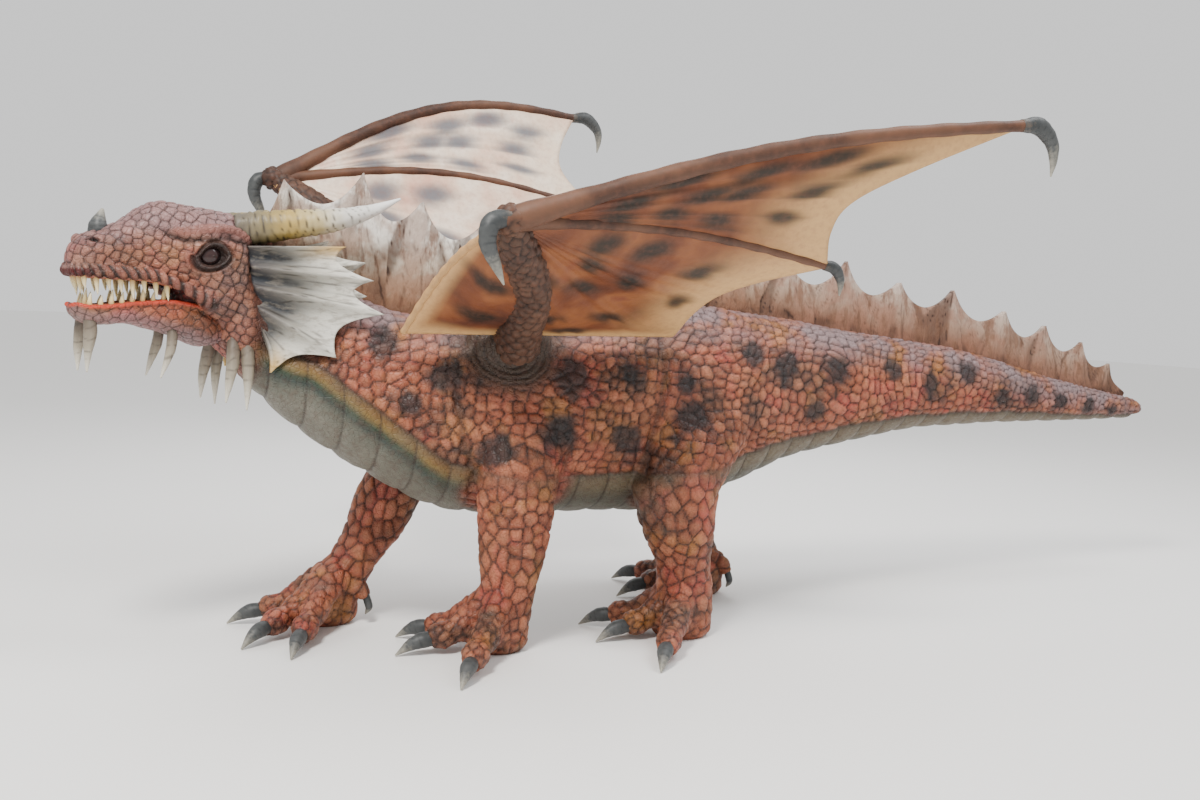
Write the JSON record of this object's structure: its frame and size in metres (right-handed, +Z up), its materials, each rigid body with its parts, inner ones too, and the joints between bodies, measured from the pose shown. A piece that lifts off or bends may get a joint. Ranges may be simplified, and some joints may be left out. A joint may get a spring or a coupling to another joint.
{
  "type": "animatronic dragon",
  "caption": "Animatronic dragon standing on four clawed legs, with spread bat-like wings that flap, a spiked crest down its back and tail, cheek fins, horns and a moving jaw.",
  "frame": {"origin": "on the ground under the middle of the dragon's outline", "axes": "-X towards the head, +X towards the tail tip, -Y is the dragon's left side, +Z up"},
  "size_m": [5.7226, 2.8588, 2.5616],
  "materials": {
    "skin": "matte, painted silicone rubber with moulded scales",
    "wing_skin": "matte, painted thin silicone rubber",
    "crest": "matte, off-white painted rubber with brown wash",
    "fin": "matte, off-white painted rubber with blue-grey pockets",
    "horn": "satin, painted cast resin",
    "claw": "semi-gloss, painted cast resin",
    "tooth": "semi-gloss, yellowed cast resin",
    "eye": "polished, dark brown glass-like eye"
  },
  "bodies": {
    "root": {"body_skin": "skin", "crest": "crest", "front_left_claw_1": "claw", "front_left_claw_2": "claw", "front_left_claw_3": "claw", "front_left_dewclaw": "claw", "front_right_claw_1": "claw", "front_right_claw_2": "claw", "front_right_claw_3": "claw", "front_right_dewclaw": "claw", "hind_left_claw_1": "claw", "hind_left_claw_2": "claw", "hind_left_claw_3": "claw", "hind_left_dewclaw": "claw", "hind_right_claw_1": "claw", "hind_right_claw_2": "claw", "hind_right_claw_3": "claw", "hind_right_dewclaw": "claw", "left_ear_fin": "fin", "left_eye": "eye", "left_horn": "horn", "left_neck_spike": "horn", "left_rear_fin": "fin", "left_throat_spike": "horn", "nose_horn": "claw", "right_ear_fin": "fin", "right_eye": "eye", "right_horn": "horn", "right_neck_spike": "horn", "right_rear_fin": "fin", "right_throat_spike": "horn", "upper_teeth": "tooth"},
    "jaw": {"jaw": "skin", "lower_teeth": "tooth", "left_chin_spike": "horn", "left_jaw_spike": "horn", "right_chin_spike": "horn", "right_jaw_spike": "horn"},
    "left_wing": {"left_wing": "wing_skin", "left_thumb_claw": "claw", "left_finger_claw": "claw", "left_tip_claw": "claw"},
    "right_wing": {"right_wing": "wing_skin", "right_thumb_claw": "claw", "right_finger_claw": "claw", "right_tip_claw": "claw"}
  },
  "joints": [
    {"name": "jaw_hinge", "type": "hinge", "parent": "root", "child": "jaw", "pos_m": [-2.3372, 0.0614, 1.425], "axis": [0.309, -0.9511, 0], "range_deg": [-3, 6]},
    {"name": "left_wing_hinge", "type": "hinge", "parent": "root", "child": "left_wing", "pos_m": [-1.1184, -0.235, 1.31], "axis": [1, 0, 0], "range_deg": [-8, 8]},
    {"name": "right_wing_hinge", "type": "hinge", "parent": "root", "child": "right_wing", "pos_m": [-1.1184, 0.435, 1.31], "axis": [1, 0, 0], "range_deg": [-8, 8]}
  ]
}
